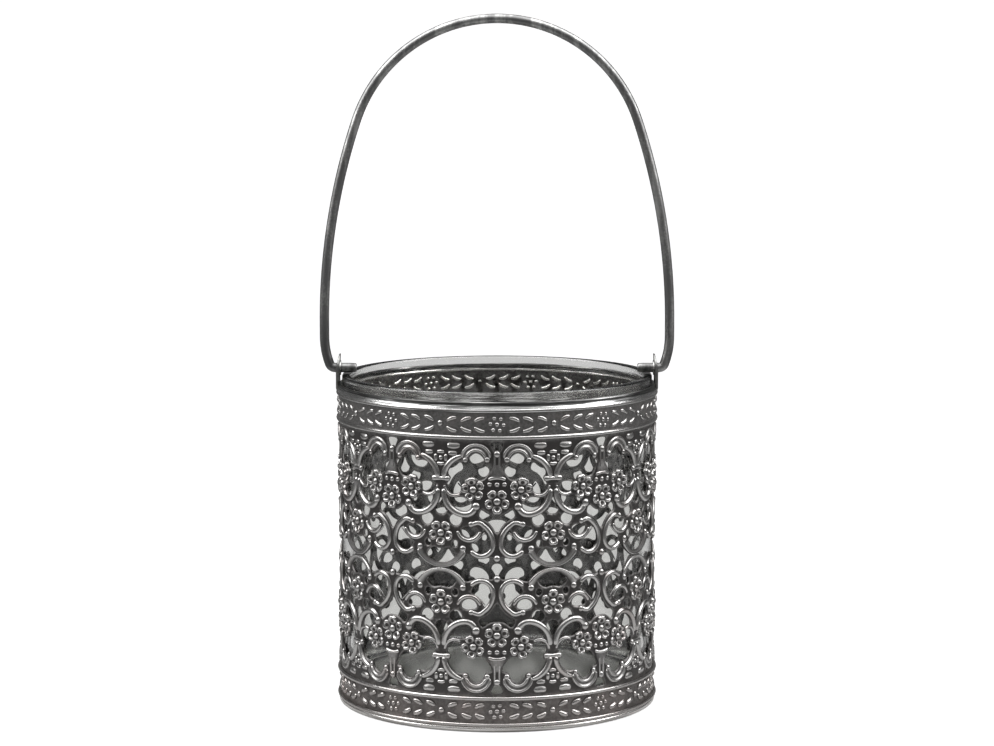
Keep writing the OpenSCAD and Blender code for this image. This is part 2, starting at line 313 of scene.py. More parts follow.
class EarSizes(bpy.types.PropertyGroup):
    """Sizes of the ears"""

    thickness: length("Thickness", "Thickness of the plate", 0.8 * MM)
    width: length("Width", "Width of the plate", EAR_HIGH.y - EAR_LOW.y)
    hole: length("Hole", "Radius of the hole", 1.28 * MM)
    lean: length("Lean", "How far the top leans in", 0.55 * MM)
    burr: length("Burr", "Height of the burr round the hole", 0.35 * MM)


class Finishes(bpy.types.PropertyGroup):
    """Colours of the finishes"""

    patina: colour("Patina", "Dark finish in the recesses", (0.07, 0.066, 0.064, 1))
    # Painted light: recesses near the ground, lighter than the patina, standing in for light from the floor
    floor_lit_recess: colour("Tarnish", "Recesses near the ground", (0.13, 0.114, 0.107, 1))
    silver: colour("Silver", "Polished raised metal", (0.56, 0.55, 0.54, 1))
    warm: colour("Warm tint", "Brownish tone of the finish in places", (0.45, 0.4, 0.38, 1))
    # Painted highlight: near-white for raised metal that faces the sleeve's axis
    inside: colour("Inside", "Polished metal inside the sleeve", (0.96, 0.95, 0.93, 1))
    rim: colour("Rim", "Rolled rim ring", (0.86, 0.86, 0.85, 1))
    # Also the rim's upper part, a painted shade
    rim_dull: colour("Dull rim", "Dull patches of the rim ring", (0.07, 0.07, 0.069, 1))
    foot: colour("Foot", "Foot ring", (0.93, 0.91, 0.89, 1))
    foot_dull: colour("Dull foot", "Tarnish of the foot ring", (0.4, 0.38, 0.365, 1))
    seat: colour("Seat", "Ring under the glass", (0.3, 0.3, 0.29, 1))
    seat_dull: colour("Dull seat", "Tarnish of the ring under the glass", (0.16, 0.155, 0.15, 1))
    ear: colour("Ear", "Aged plate of the ears", (0.1, 0.1, 0.095, 1))
    rubbed: colour("Rubbed ear", "Ears where the wire rubs", (0.52, 0.52, 0.51, 1))
    wire: colour("Wire", "Dark wire", (0.27, 0.27, 0.27, 1))
    # Painted shade: the darker wire near the ears
    wire_low: colour("Low wire", "Dark wire near the ears", (0.17, 0.17, 0.17, 1))
    worn: colour("Worn wire", "Wire where the finish has worn", (0.62, 0.62, 0.61, 1))
    glass: colour("Glass", "Clear glass", (0.985, 0.985, 0.97, 1))
    lip: colour("Lip", "Glass at the rim", (0.985, 0.985, 0.975, 1))
    thick: colour("Thick glass", "Glass of the floor", (0.86, 0.87, 0.815, 1))


class StageSettings(bpy.types.PropertyGroup):
    """Floor, lamps and camera"""

    floor: colour("Floor", "Floor and backdrop", (0.8, 0.8, 0.8, 1))
    depth: length("Depth", "Distance of the backdrop", 0.9)
    height: length("Height", "Height of the backdrop", 1.4)
    cove: length("Cove", "Radius between floor and backdrop", 0.3)
    front: length("Front", "How far the floor reaches in front", 2.5)
    half_width: length("Half width", "Half the width of floor and backdrop", 2.2)
    lamp_side: length("Lamp side", "Distance of each lamp to its side", 0.46)
    lamp_front: length("Lamp front", "Distance of the lamps in front of the holder", 0.08)
    lamp_height: length("Lamp height", "Height of the lamps", 0.5)
    lamp_width: length("Lamp width", "Width of a lamp", 0.4)
    lamp_length: length("Lamp length", "Length of a lamp", 0.66)
    lamp_aim: length("Lamp aim", "Height at which the lamps aim", 0.06)
    lamp_power: bpy.props.FloatProperty(name="Lamp power", description="Power of each lamp", default=3.1,
                                        min=0, unit="POWER")
    camera_distance: length("Camera distance", "Distance of the camera in front of the holder", 0.77)
    camera_height: length("Camera height", "Height of the camera", 0.177)
    camera_tilt: bpy.props.FloatProperty(name="Camera tilt", description="How far the camera looks down",
                                         default=math.radians(6.97), subtype="ANGLE")
    focal: bpy.props.FloatProperty(name="Focal length", description="Lens of the camera, in millimetres",
                                   default=FOCAL_PIXELS / PICTURE_WIDTH * SENSOR, min=1)


# Nodes
class Signal:
    """An output of a node that can be used in arithmetic. Each operation adds a Math node."""

    def __init__(self, graph, socket):
        self.graph = graph
        self.socket = socket

    def output(self, name):
        """Another output of the same node."""
        return Signal(self.graph, self.socket.node.outputs[name])

    def math(self, operation, *values):
        return self.graph.add("ShaderNodeMath", {"operation": operation}, dict(enumerate(values)))

    def __add__(self, other):
        return self.math("ADD", self, other)

    __radd__ = __add__

    def __sub__(self, other):
        return self.math("SUBTRACT", self, other)

    def __rsub__(self, other):
        return self.math("SUBTRACT", other, self)

    def __mul__(self, other):
        return self.math("MULTIPLY", self, other)

    __rmul__ = __mul__

    def __truediv__(self, other):
        return self.math("DIVIDE", self, other)

    def __rtruediv__(self, other):
        return self.math("DIVIDE", other, self)

    def __abs__(self):
        return self.math("ABSOLUTE", self)

    def sin(self):
        return self.math("SINE", self)

    def cos(self):
        return self.math("COSINE", self)

    def ramp(self, low, high):
        """0 below low, 1 above high, and smooth between."""
        return self.graph.add("ShaderNodeMapRange", {"interpolation_type": "SMOOTHSTEP"},
                              {"Value": self, "From Min": low, "From Max": high})


class Graph:
    """A node tree that is written as Python expressions."""

    def __init__(self, tree):
        self.tree = tree

    def add(self, kind, settings=None, sockets=None, out=0):
        """Adds a node, sets its settings and then its sockets, and gives one of its outputs."""
        node = self.tree.nodes.new(kind)
        for name, value in (settings or {}).items():
            setattr(node, name, value)
        for key, value in (sockets or {}).items():
            if isinstance(value, Signal):
                self.tree.links.new(value.socket, node.inputs[key])
            else:
                node.inputs[key].default_value = value
        return Signal(self, node.outputs[out]) if len(node.outputs) else node

    def mixed(self, share, first, second):
        """The mix of two colours."""
        return self.add("ShaderNodeMix", {"data_type": "RGBA"}, {0: share, 6: first, 7: second}, out=2)

    def vector(self, x, y, z):
        return self.add("ShaderNodeCombineXYZ", sockets={"X": x, "Y": y, "Z": z})

    def length(self, vector):
        return self.add("ShaderNodeVectorMath", {"operation": "LENGTH"}, {0: vector}, out=1)

    def named(self, name):
        """A float attribute of the geometry."""
        return self.add("GeometryNodeInputNamedAttribute", {"data_type": "FLOAT"}, {"Name": name})


class Surface(Graph):
    """A material's node tree."""

    def __init__(self, name):
        self.material = bpy.data.materials.new(name)
        self.material.use_nodes = True
        super().__init__(self.material.node_tree)
        self.tree.nodes.clear()
        self.look = bpy.context.scene.holder_finishes
        self.place = self.add("ShaderNodeTexCoord").output("Object")

    def stretched(self, x, y, z):
        """Object coordinates stretched along the axes."""
        return self.add("ShaderNodeVectorMath", {"operation": "MULTIPLY"}, {0: self.place, 1: (x, y, z)})

    def above(self, low, high):
        """0 below the height low, 1 above the height high, and smooth between."""
        return self.add("ShaderNodeSeparateXYZ", sockets={"Vector": self.place}).output("Z").ramp(low, high)

    def crest(self):
        """How polished a point is: the mesh's crest attribute, which is high where the form stands out. In
        some pieces it also carries painted light.
        """
        return self.add("ShaderNodeAttribute", {"attribute_name": "crest"}).output("Fac")

    def noise(self, scale, detail, place=None):
        """Noise from 0 to 1, its scale in waves per metre. A stretched place has scale 1."""
        return self.add("ShaderNodeTexNoise", sockets={"Vector": place or self.place, "Scale": scale,
                                                       "Detail": detail, "Roughness": 0.55})

    def bumped(self, height, distance, strength):
        """The normal of a surface with this height, from 0 to the distance in metres."""
        return self.add("ShaderNodeBump",
                        sockets={"Height": height, "Distance": distance, "Strength": strength})

    def finished(self, **sockets):
        """Ends the tree in a Principled shader with these sockets."""
        named = {name.replace("_", " "): value for name, value in sockets.items()}
        shader = self.add("ShaderNodeBsdfPrincipled", sockets=named)
        self.add("ShaderNodeOutputMaterial", sockets={"Surface": shader})
        return self.material


def stamped_silver():
    """Stamped metal: dark patina in the recesses, polished on the raised edges, by the crest attribute.
    Raised metal that faces the sleeve's axis is painted near-white, a painted highlight, and recesses near
    the ground are painted lighter, standing in for light from the floor.
    """
    known = bpy.data.materials.get("stamped_silver")
    if known:
        return known
    m = Surface("stamped_silver")
    crest = m.crest()
    grain = m.noise(1500, 4)
    cloud = m.noise(110, 3)
    normal = m.add("ShaderNodeNewGeometry").output("Normal")
    facing = m.add("ShaderNodeVectorMath", {"operation": "DOT_PRODUCT"},
                   {0: normal, 1: m.stretched(25, 25, 0)}, out=1)
    # Surfaces that face the sleeve's axis: their raised metal is painted near-white, a painted highlight,
    # and their flat parts are kept darker
    inside = 1 - facing.ramp(-0.6, 0)
    # Near the ground the metal turns warmer and the recesses lighter. The warmth is the finish's tone, and
    # the lighter recesses are painted light from the floor.
    low = 1 - m.above(6 * MM, 11 * MM)
    polish = (crest + 0.3 * grain + 0.3 * cloud - 0.3 - 0.2 * inside * (1 - crest)).ramp(0.1, 0.75)
    metal = m.mixed(cloud.ramp(0.5, 0.72) * 0.55 + 0.35 * low, m.look.silver, m.look.warm)
    metal = m.mixed(0.85 * inside, metal, m.look.inside)
    recess = m.mixed(low * (0.35 + 0.65 * cloud.ramp(0.4, 0.6)), m.look.patina, m.look.floor_lit_recess)
    rough = 0.42 - 0.26 * polish + 0.12 * grain
    dent = m.noise(700, 2) * 0.7 + m.noise(2600, 3) * 0.3
    return m.finished(Base_Color=m.mixed(polish, recess, metal), Metallic=0.75 + 0.25 * polish,
                      Roughness=rough, Normal=m.bumped(dent, 0.09 * MM, 0.6))


def rolled_silver():
    """The rolled rim: bright metal with fine streaks and dull patches round the ring, and its upper part
    painted duller and darker, a painted shade.
    """
    m = Surface("rolled_silver")
    streak = m.noise(1, 5, m.stretched(60, 60, 4200))
    patch = m.noise(1, 3, m.stretched(90, 90, 1300))
    # Painted shade: the ring's upper part is painted duller and darker
    top = m.above(RIM_LOW.z, RIM_LOW.z + 1.2 * MM)
    dull = (streak * 0.7 + patch * 0.4 + top * 0.2).ramp(0.5, 0.74)
    return m.finished(Base_Color=m.mixed(dull, m.look.rim, m.look.rim_dull), Metallic=1.0,
                      Roughness=0.2 + 0.16 * dull, Normal=m.bumped(streak, 0.12 * MM, 0.8))


def foot_silver():
    """The foot ring: like the rim, duller, darker towards the ground."""
    m = Surface("foot_silver")
    streak = m.noise(1, 4, m.stretched(60, 60, 2600))
    low = 1 - m.above(0.2 * MM, 1.3 * MM)
    dull = (streak * 0.8 + low * 0.25).ramp(0.42, 0.8)
    return m.finished(Base_Color=m.mixed(dull, m.look.foot, m.look.foot_dull), Metallic=1.0,
                      Roughness=0.26 + 0.22 * dull, Normal=m.bumped(streak, 0.04 * MM, 0.5))


def dull_metal():
    """The ring under the glass: plain metal with mottled dull patches."""
    m = Surface("dull_metal")
    mottle = m.noise(260, 4)
    return m.finished(Base_Color=m.mixed(mottle.ramp(0.35, 0.65), m.look.seat, m.look.seat_dull),
                      Metallic=1.0, Roughness=0.35 + 0.2 * mottle)


def ear_metal():
    """The ears: aged plate, bright where the wire rubs, by the crest attribute."""
    m = Surface("ear_metal")
    grain = m.noise(900, 4)
    bright = (m.crest() + 0.5 * grain - 0.3).ramp(0.15, 0.75)
    return m.finished(Base_Color=m.mixed(bright, m.look.ear, m.look.rubbed), Metallic=1.0,
                      Roughness=0.45 - 0.2 * bright, Normal=m.bumped(grain, 0.04 * MM, 0.6))


def dark_wire():
    """The bail: dark drawn wire, pitted, with the finish worn to grey in patches along it. Near the ears it
    is painted darker and less worn, a painted shade.
    """
    m = Surface("dark_wire")
    pits = m.noise(1900, 4)
    wear = m.noise(1, 4, m.stretched(420, 420, 70))
    worn = (wear + 0.3 * pits).ramp(0.56, 0.84)
    # Painted shade: the wire is darker and less worn towards the ears
    low = 1 - m.above(BAIL_LOW.z + 4 * MM, BAIL_LOW.z + 16 * MM)
    dark = m.mixed(low, m.look.wire, m.look.wire_low)
    return m.finished(Base_Color=m.mixed(worn * (1 - 0.5 * low), dark, m.look.worn), Metallic=1.0,
                      Roughness=0.32 + 0.16 * pits - 0.04 * worn,
                      Normal=m.bumped(pits * 0.4 + wear * 0.3, 0.06 * MM, 0.5))


def clear_glass():
    """Clear pressed glass, slightly green where it is thick, with faint waves in its wall."""
    m = Surface("clear_glass")
    base = GLASS_LOW.z
    thick = 1 - m.above(base, base + 14 * MM)
    lip = m.above(RIM_LOW.z - 1 * MM, RIM_LOW.z + 0.5 * MM)
    ground = 1 - m.above(base + 0.15 * MM, base + 0.7 * MM)
    inner = 1 - m.length(m.stretched(1, 1, 0)).ramp(GLASS_HIGH.y - 1.5 * MM, GLASS_HIGH.y - 0.8 * MM)
    floor_haze = (1 - m.above(base + 8 * MM, base + 12 * MM)) * inner
    wave = m.noise(1, 1, m.stretched(30, 30, 14))
    tooled = m.noise(1, 4, m.stretched(45, 45, 1500))
    haze = m.noise(320, 4).ramp(0.55, 0.8)
    rough = 0.005 + 0.02 * haze + 0.09 * lip + 0.5 * ground + 0.2 * floor_haze
    tint = m.mixed(thick, m.mixed(lip, m.look.glass, m.look.lip), m.look.thick)
    return m.finished(Base_Color=tint, Roughness=rough, IOR=1.5, Transmission_Weight=1.0,
                      Normal=m.bumped(wave * 0.1 + tooled * lip * 0.9, 0.14 * MM, 0.7))


# Meshes
def flat_mesh(name, points, faces=(), edges=(), **attributes):
    """A mesh with float attributes on its points."""
    mesh = bpy.data.meshes.new(name)
    mesh.from_pydata([tuple(p) for p in points], [tuple(e) for e in edges], [tuple(f) for f in faces])
    for key, values in attributes.items():
        mesh.attributes.new(key, "FLOAT", "POINT").data.foreach_set("value", np.asarray(values, np.float32))
    mesh.update()
    return mesh


def linked(name, mesh):
    """An object with this mesh, in the scene."""
    made = bpy.data.objects.new(name, mesh)
    bpy.context.scene.collection.objects.link(made)
    return made


def evaluated(made):
    """The mesh that an object's modifiers give. The object is removed."""
    bpy.context.view_layer.update()
    graph = bpy.context.evaluated_depsgraph_get()
    mesh = bpy.data.meshes.new_from_object(made.evaluated_get(graph), preserve_all_data_layers=True,
                                           depsgraph=graph)
    old = made.data
    bpy.data.objects.remove(made)
    bpy.data.meshes.remove(old)
    return mesh


def outwards(mesh):
    """Turns a closed mesh's faces outwards if they point inwards as a whole."""
    mesh.calc_loop_triangles()
    points = np.array([v.co for v in mesh.vertices])
    corners = points[np.array([t.vertices for t in mesh.loop_triangles])]
    if np.einsum("ij,ij->i", corners[:, 0], np.cross(corners[:, 1], corners[:, 2])).sum() < 0:
        mesh.flip_normals()
    return mesh


def smooth(mesh, sharp=None):
    """Shades a mesh smooth, but for the edges above this angle in degrees."""
    mesh.shade_smooth()
    if sharp:
        mesh.set_sharp_from_angle(angle=math.radians(sharp))
    return mesh


def next_to(outline):
    """Each point of an outline with the one after it."""
    return zip(outline, outline[1:] + outline[:1])


def loop_edges(count, first=0):
    """The edges of a closed loop of points."""
    return [(first + i, first + (i + 1) % count) for i in range(count)]


def ring_faces(rings, count, closed=False):
    """The faces between rings of points. If closed, the last ring joins the first."""
    pairs = [(r * count, (r + 1) % rings * count) for r in range(rings if closed else rings - 1)]
    return [(a + i, a + j, b + j, b + i) for a, b in pairs for i, j in loop_edges(count)]


def piece(name, mesh, body, material, replaces=()):
    """A finished piece that rides on a body."""
    mesh.materials.clear()
    mesh.materials.append(material)
    made = linked(name, mesh)
    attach(made, body)
    if replaces:
        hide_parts(*replaces)


def silver_piece(name, mesh, replaces=()):
    """A piece of the stamped sleeve."""
    piece(name, mesh, "sleeve", stamped_silver(), replaces)


def joined(name, meshes):
    """One mesh from several."""
    parts = [linked(name, mesh) for mesh in meshes]
    with bpy.context.temp_override(active_object=parts[0], selected_editable_objects=parts):
        bpy.ops.object.join()
    mesh = parts[0].data
    bpy.data.objects.remove(parts[0])
    return mesh


# Geometry node trees
def new_tree(name, inputs):
    """A geometry tree with named inputs. Gives its graph and the inputs' signals."""
    tree = bpy.data.node_groups.new(name, "GeometryNodeTree")
    tree.interface.new_socket("Geometry", in_out="INPUT", socket_type="NodeSocketGeometry")
    for label, kind in inputs.items():
        tree.interface.new_socket(label, in_out="INPUT", socket_type=f"NodeSocket{kind}")
    tree.interface.new_socket("Geometry", in_out="OUTPUT", socket_type="NodeSocketGeometry")
    graph = Graph(tree)
    start = graph.add("NodeGroupInput")
    return graph, {label: start.output(label) for label in ["Geometry", *inputs]}


def end_tree(graph, geometry, material):
    """Ends a geometry tree: instances made real, then the material."""
    real = graph.add("GeometryNodeRealizeInstances", sockets={"Geometry": geometry})
    dressed = graph.add("GeometryNodeSetMaterial", sockets={"Geometry": real, "Material": material})
    graph.add("NodeGroupOutput", sockets={"Geometry": dressed})
    return graph.tree


def sweep_tree(normals):
    """Sweeps a section along lines. A line's half_width attribute scales the section."""
    name = f"sweep_{normals.lower()}"
    if name in bpy.data.node_groups:
        return bpy.data.node_groups[name]
    g, given = new_tree(name, {"Section": "Object", "Material": "Material"})
    lines = g.add("GeometryNodeMeshToCurve", sockets={"Mesh": given["Geometry"]})
    lines = g.add("GeometryNodeSetCurveNormal", {"mode": normals}, {"Curve": lines})
    width = g.named("half_width")
    lines = g.add("GeometryNodeSetCurveRadius", sockets={"Curve": lines, "Radius": width})
    outline = g.add("GeometryNodeObjectInfo", sockets={"Object": given["Section"]}).output("Geometry")
    outline = g.add("GeometryNodeMeshToCurve", sockets={"Mesh": outline})
    tube = g.add("GeometryNodeCurveToMesh",
                 sockets={"Curve": lines, "Profile Curve": outline, "Scale": width, "Fill Caps": True})
    return end_tree(g, tube, given["Material"])


def motif_tree():
    """Sets a motif on places, each with its own turn and size."""
    if "motifs_on_places" in bpy.data.node_groups:
        return bpy.data.node_groups["motifs_on_places"]
    g, given = new_tree("motifs_on_places", {"Motif": "Object", "Material": "Material"})
    motif = g.add("GeometryNodeObjectInfo", sockets={"Object": given["Motif"]}).output("Geometry")
    size = g.named("size")
    placed = g.add("GeometryNodeInstanceOnPoints", sockets={
        "Points": given["Geometry"], "Instance": motif,
        "Rotation": g.vector(0.0, 0.0, g.named("turn")), "Scale": g.vector(size, size, size)})
    return end_tree(g, placed, given["Material"])


def sleeve_tree():
    """Bends a flat repeat round the sleeve and repeats it. Flat, X runs along the strip, Y away from its
    outer edge and Z outwards."""
    if "round_the_sleeve" in bpy.data.node_groups:
        return bpy.data.node_groups["round_the_sleeve"]
    g, given = new_tree("round_the_sleeve", {
        "Repeats": "Int", "Pattern radius": "Float", "Base radius": "Float", "Edge height": "Float",
        "Upside down": "Bool", "Weld": "Float", "Material": "Material"})
    at = g.add("ShaderNodeSeparateXYZ", sockets={"Vector": g.add("GeometryNodeInputPosition")})
    turn = at.output("X") / given["Pattern radius"]
    out = at.output("Z") + given["Base radius"]
    height = given["Edge height"] + at.output("Y") * (1 - 2 * given["Upside down"])
    bent = g.add("GeometryNodeSetPosition",
                 sockets={"Geometry": given["Geometry"],
                          "Position": g.vector(out * turn.sin(), 0 - out * turn.cos(), height)})
    bent = g.add("GeometryNodeFlipFaces", sockets={"Mesh": bent, "Selection": given["Upside down"]})
    points = g.add("GeometryNodePoints", sockets={"Count": given["Repeats"]})
    step = math.tau / given["Repeats"]
    spin = g.vector(0.0, 0.0, g.add("GeometryNodeInputIndex") * step)
    ring = g.add("GeometryNodeInstanceOnPoints",
                 sockets={"Points": points, "Instance": bent, "Rotation": spin})
    ring = g.add("GeometryNodeRealizeInstances", sockets={"Geometry": ring})
    ring = g.add("GeometryNodeMergeByDistance", sockets={"Geometry": ring, "Distance": given["Weld"]})
    return end_tree(g, ring, given["Material"])


def worked(made, tree, **values):
    """Runs a geometry tree on an object with these inputs, set by their identifiers."""
    run = made.modifiers.new(tree.name, "NODES")
    run.node_group = tree
    for item in tree.interface.items_tree:
        key = item.name.lower().replace(" ", "_")
        if item.in_out == "INPUT" and key in values:
            run[item.identifier] = values[key]
    return made


def swept(name, normals, lines, outline, crest):
    """The mesh of lines swept with a closed outline that has a crest for each point. The lines are points,
    edges and half widths."""
    points, edges, widths = lines
    flat = flat_mesh(name, [(x, y, 0) for x, y in outline], edges=loop_edges(len(outline)), crest=crest)
    section = linked(f"section_{name}", flat)
    made = worked(linked(name, flat_mesh(name, points, edges=edges, half_width=widths)),
                  sweep_tree(normals), section=section, material=stamped_silver())
    mesh = outwards(evaluated(made))
    bpy.data.objects.remove(section)
    return mesh


def evenly(points, width_at, spacing=0.5):
    """Resamples a line, with closer points where its ends are rounded. Gives points and half widths. A line
    that has a half width for every point stays as it is."""
    if len(width_at) > 3:
        return points, np.array(width_at, float)
    steps = np.hypot(*np.diff(points, axis=0).T)
    along = np.concatenate([[0], np.cumsum(steps)])
    total = along[-1]
    first, middle, last = width_at
    ends = np.array([0, 0.06, 0.22, 0.5, 1.0])  # places along a rounded end, as shares of its length
    start, stop = ends * min(first, total / 2), total - ends[::-1] * min(last, total / 2)
    inner = np.linspace(start[-1], stop[0], max(2, round((stop[0] - start[-1]) / spacing)))[1:-1]
    at = np.unique(np.concatenate([start, inner, stop]))
    share = at / total
    end = np.where(share < 0.5, first, last)
    width = end + (middle - end) * np.sin(np.pi * np.minimum(share, 1 - share))
    for gap, reach in ((at, first), (total - at, last)):
        near = np.clip(1 - gap / max(reach, 1e-6), 0, 1)
        width = width * np.sqrt(np.clip(1 - near * near, 0.01, 1))
    placed = np.column_stack([np.interp(at, along, points[:, i]) for i in (0, 1)])
    return placed, width


def swept_lines(name, lines, lift=0):
    """The flat mesh of raised lines. The crest is the height on the section, less on flat sections."""
    points, edges, widths = [], [], []
    for line, width_at in lines:
        placed, width = evenly(line, width_at)
        edges += [(len(points) + i, len(points) + i + 1) for i in range(len(placed) - 1)]
        points += [(x * MM, y * MM, lift * MM) for x, y in placed]
        widths += list(width * MM)
    outline = [(x, -y) for x, y in SECTIONS[name]]
    crest = [max(y, 0) / TALLEST_SECTION for x, y in SECTIONS[name]]
    return swept(name, "Z_UP", (points, edges, widths), outline, crest)


def swept_wire(name, points, edges, widths, sides, crest=0.85):
    """A round wire along lines."""
    return smooth(swept(name, "MINIMUM_TWIST", (points, edges, widths), circle(1, sides), [crest] * sides))


def wire_rings(rings, crest=0.85, sides=12, count=240):
    """Round rings: radius, height and radius of the wire."""
    points, edges, widths = [], [], []
    for radius, height, wire in rings:
        edges += loop_edges(count, len(points))
        for turn in np.linspace(0, math.tau, count, endpoint=False):
            points.append((radius * math.sin(turn), -radius * math.cos(turn), height))
            widths.append(wire)
    return swept_wire("rings", points, edges, widths, sides, crest)


def turned(name, outline, count, sharp=None):
    """A closed turned mesh. An outline that starts and ends on the axis is closed there, and any other is
    the section of a ring."""
    solid = outline[0][0] == 0
    rings = outline[1:-1] if solid else outline
    points = [(x, y, height) for radius, height in rings for x, y in circle(radius, count)]
    faces = ring_faces(len(rings), count, closed=not solid)
    if solid:
        last, low, high = len(points) - count, len(points), len(points) + 1
        points += [(0, 0, outline[0][1]), (0, 0, outline[-1][1])]
        for i, j in loop_edges(count):
            faces += [(low, j, i), (last + i, last + j, high)]
    return smooth(outwards(flat_mesh(name, points, faces)), sharp)


def closed_heap(name, rings):
    """A closed mesh from rings of points, from its outer foot to its top, with a crest for each point."""
    count = len(rings[0][0])
    points = [p for ring, crest in rings for p in ring]
    crests = [c for ring, crest in rings for c in crest]
    last, top = len(points) - count, len(points)
    points.append(tuple(np.mean(points[last:], axis=0)))
    crests.append(float(np.mean(crests[last:])))
    faces = ring_faces(len(rings), count) + [tuple(range(count - 1, -1, -1))]
    faces += [(last + i, last + j, top) for i, j in loop_edges(count)]
    return smooth(flat_mesh(name, points, faces, crest=crests))


def petal_mesh():
    """A cupped petal of radius 1, its outer end along X: a raised rim round a cup, notched outside."""
    shape = [(1.0, -0.4, 0.35), (1.0, 0.14, 0.5), (0.96, 0.4, 0.85), (0.85, 0.6, 1.0), (0.7, 0.68, 1.0),
             (0.55, 0.64, 1.0), (0.43, 0.5, 0.6), (0.31, 0.32, 0.15), (0.14, 0.26, 0.05)]
    notch_depth, notch_width, cup_place = 0.42, 0.3, 0.85
    width, lowest = 1.13, 0.32
    rings = []
    for reach, height, bright in shape:
        ring, crest = [], []
        for cos, sin in circle(1, 16):
            notch = notch_depth * math.exp(-(math.atan2(sin, cos) / notch_width) ** 2) * reach
            inner = lowest + (1 - lowest) * min(1, (cos + 1) / 1.4)
            shift = -0.3 * max(0, cup_place - reach)
            tall = height * (1 - notch) * inner if height > 0 else height
            ring.append(((1 - 0.3 * notch) * reach * cos + shift, width * reach * sin, tall))
            crest.append(bright * (1 - notch) * inner)
        rings.append((ring, crest))
    return closed_heap("petal", rings)


def pearl_mesh():
    """A domed pearl of radius 1."""
    rings = []
    for reach, height in [(1.0, -0.4), (1.0, 0.04), (0.94, 0.33), (0.77, 0.56), (0.5, 0.74), (0.22, 0.82)]:
        ring = [(x, y, height) for x, y in circle(reach, 14)]
        rings.append((ring, [max(1.2 * height, 0)] * len(ring)))
    return closed_heap("pearl", rings)


def set_motifs(name, motif, places):
    """The flat mesh of a motif set on places: (x, y, lift), turn and size."""
    shape = linked(f"motif_{name}", motif)
    points = [(x * MM, y * MM, lift * MM) for (x, y, lift), turn, size in places]
    made = linked(name, flat_mesh(name, points, turn=[turn for at, turn, size in places],
                                  size=[size * MM for at, turn, size in places]))
    mesh = evaluated(worked(made, motif_tree(), motif=shape, material=stamped_silver()))
    bpy.data.objects.remove(shape)
    return mesh


def clipped(outline, axis, limit, sign):
    """What is left of an outline below a limit on one axis, or above it if the sign is -1."""
    def inside(p):
        return sign * p[axis] <= sign * limit + 1e-9

    kept = []
    for a, b in next_to(outline):
        if inside(a):
            kept.append(a)
        if inside(a) != inside(b):
            share = (limit - a[axis]) / (b[axis] - a[axis])
            kept.append(tuple(a[i] + share * (b[i] - a[i]) if i != axis else limit for i in (0, 1)))
    return kept


def rounded(outline, times=2):
    """Cuts an outline's corners."""
    for _ in range(times):
        outline = [(near * a[0] + (1 - near) * b[0], near * a[1] + (1 - near) * b[1])
                   for a, b in next_to(outline) for near in (0.75, 0.25)]
    return outline


def opening_outlines(half, low, high):
    """The openings of one repeat as outlines, cut at its edges."""
    def placed(shares, centre, side):
        return [(centre + side * half * x, low + (high - low) * y) for x, y in shares]

    def whole(shares):
        return shares + [(-x, y) for x, y in reversed(shares)]

    outlines = [placed(whole(shares), 0, 1) for shares in AXIS_OPENINGS.values()]
    outlines += [placed(whole(shares), side * half, 1)
                 for shares in BETWEEN_OPENINGS.values() for side in (1, -1)]
    outlines += [placed(shares, 0, side) for shares in SIDE_OPENINGS.values() for side in (1, -1)]
    finished = []
    for outline in outlines:
        outline = rounded(outline)
        for axis, limit, sign in ((0, half, 1), (0, -half, -1), (1, high, 1)):
            outline = clipped(outline, axis, limit, sign)
        finished.append(outline)
    return finished


def within(points, outline):
    """Which points lie in an outline."""
    x, y = points[:, 0], points[:, 1]
    hit = np.zeros(len(points), bool)
    for (ax, ay), (bx, by) in next_to(outline):
        if ay != by:
            hit ^= ((ay > y) != (by > y)) & (x < (bx - ax) * (y - ay) / (by - ay) + ax)
    return hit


def from_outline(points, outline):
    """The distance of points from an outline."""
    nearest = np.full(len(points), np.inf)
    for a, b in next_to(outline):
        a, b = np.array(a), np.array(b)
        along = b - a
        share = np.clip((points - a) @ along / max(along @ along, 1e-12), 0, 1)
        nearest = np.minimum(nearest, np.hypot(*(points - a - share[:, None] * along).T))
    return nearest


def beside(outline, gap):
    """Points at a distance outside an outline."""
    line = np.array(outline)
    along = np.roll(line, -1, axis=0) - np.roll(line, 1, axis=0)
    area = np.cross(line, np.roll(line, -1, axis=0)).sum()
    away = np.column_stack([along[:, 1], -along[:, 0]]) * np.sign(area)
    return line + gap * away / np.maximum(np.hypot(*away.T), 1e-9)[:, None]


# The sheet's points, in millimetres
GRID = 0.95  # greatest distance between the points of its grid
CLEAR, CLEAR_AT_EDGE = 0.75, 0.15  # from the grid to an opening, inside and on the repeat's edge
RINGS = ((0.2, 1), (0.5, 2))  # rings outside each opening: their distance, and one point in how many
RING_MARGIN = 0.12  # from those rings to the repeat's edge
# The sheet's form: its rise between the openings, how far and how wide it rolls in at their edges, and the
# height over which it passes into the border
RISE, ROLL_IN, ROLL_WIDTH, BLEND = 0.2, 0.42, 0.3, 0.8
# Its crest, and the brighter line beside each opening: how much, where and how wide
SHEET_CREST, LINE_CREST, LINE_PLACE, LINE_WIDTH = 0.1, 0.22, 0.2, 0.16


